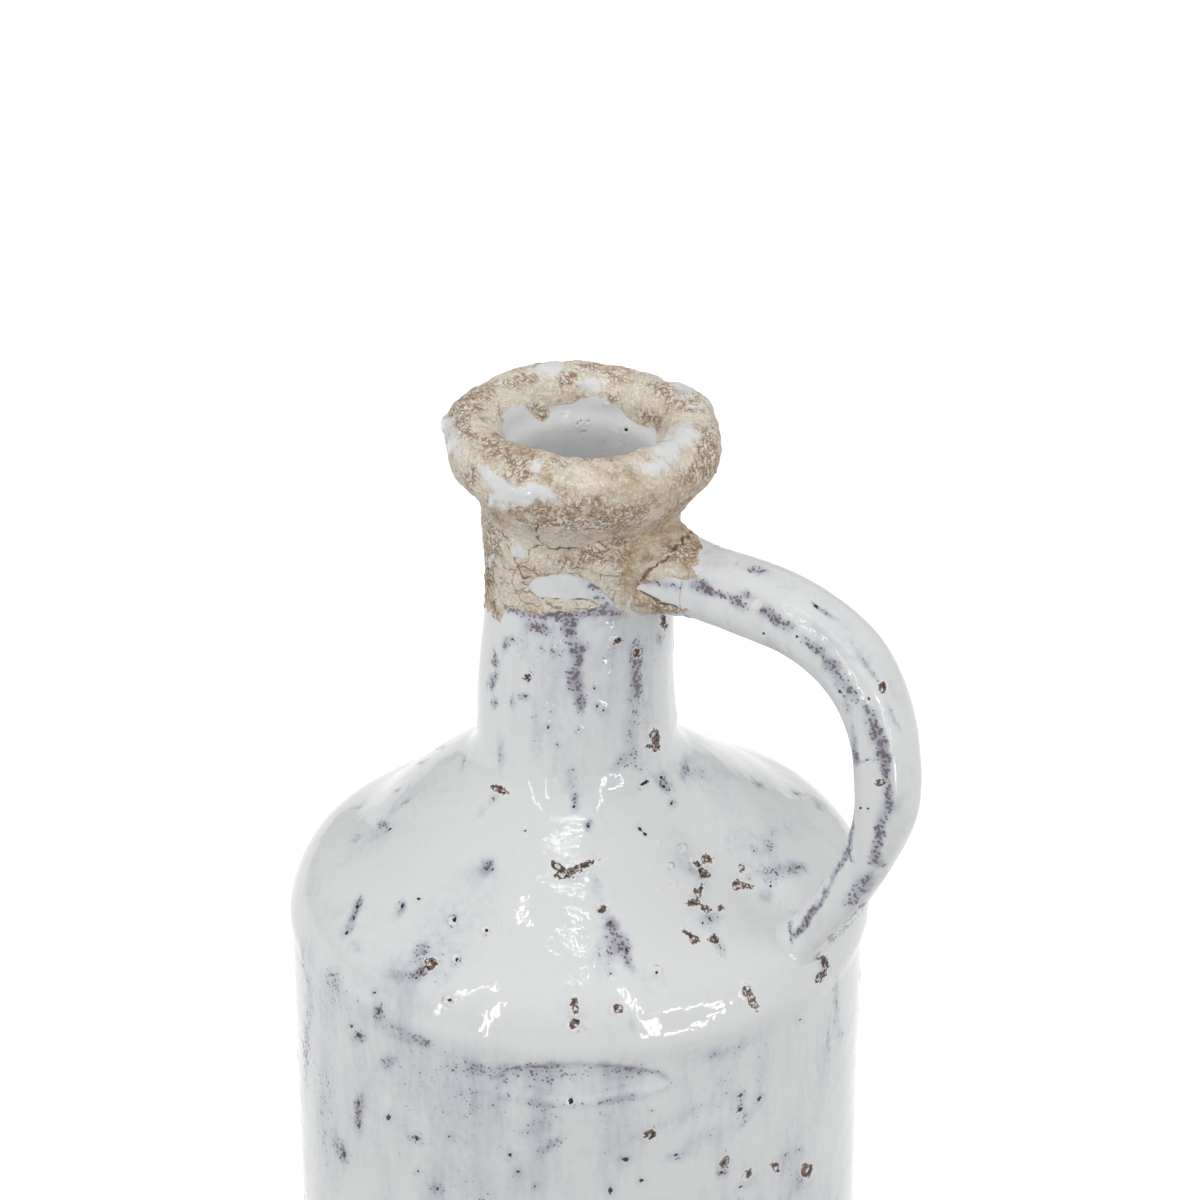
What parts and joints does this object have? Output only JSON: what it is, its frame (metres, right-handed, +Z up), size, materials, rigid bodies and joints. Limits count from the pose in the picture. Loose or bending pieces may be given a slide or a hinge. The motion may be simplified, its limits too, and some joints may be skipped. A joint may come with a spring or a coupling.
{
  "type": "jug vase",
  "caption": "Glazed terracotta jug vase: straight round body, sloping shoulder, narrow waisted neck with a thick crusted rim, and one bowed handle from neck to shoulder.",
  "frame": {"origin": "centre of the flat base, on the table", "axes": "+Z up the jug's axis through the mouth, +X towards the handle"},
  "size_m": [0.2115, 0.18, 0.3804],
  "materials": {
    "white_glaze": "glossy white glaze with blue-grey thin spots, pits and fine crazing",
    "tan_crust": "rough matt tan crust with cracks and islands of white glaze",
    "bare_terracotta": "unglazed matt fired clay"
  },
  "bodies": {
    "root": {"base_slab": "bare_terracotta", "base_coil": "white_glaze", "body_wall": "white_glaze", "shoulder_dome": "white_glaze", "neck_coil": "white_glaze", "neck_tube": "white_glaze", "rim_collar": "tan_crust", "handle_strap": "white_glaze", "handle_root_coil": "tan_crust", "handle_foot_coil": "white_glaze"}
  },
  "joints": []
}
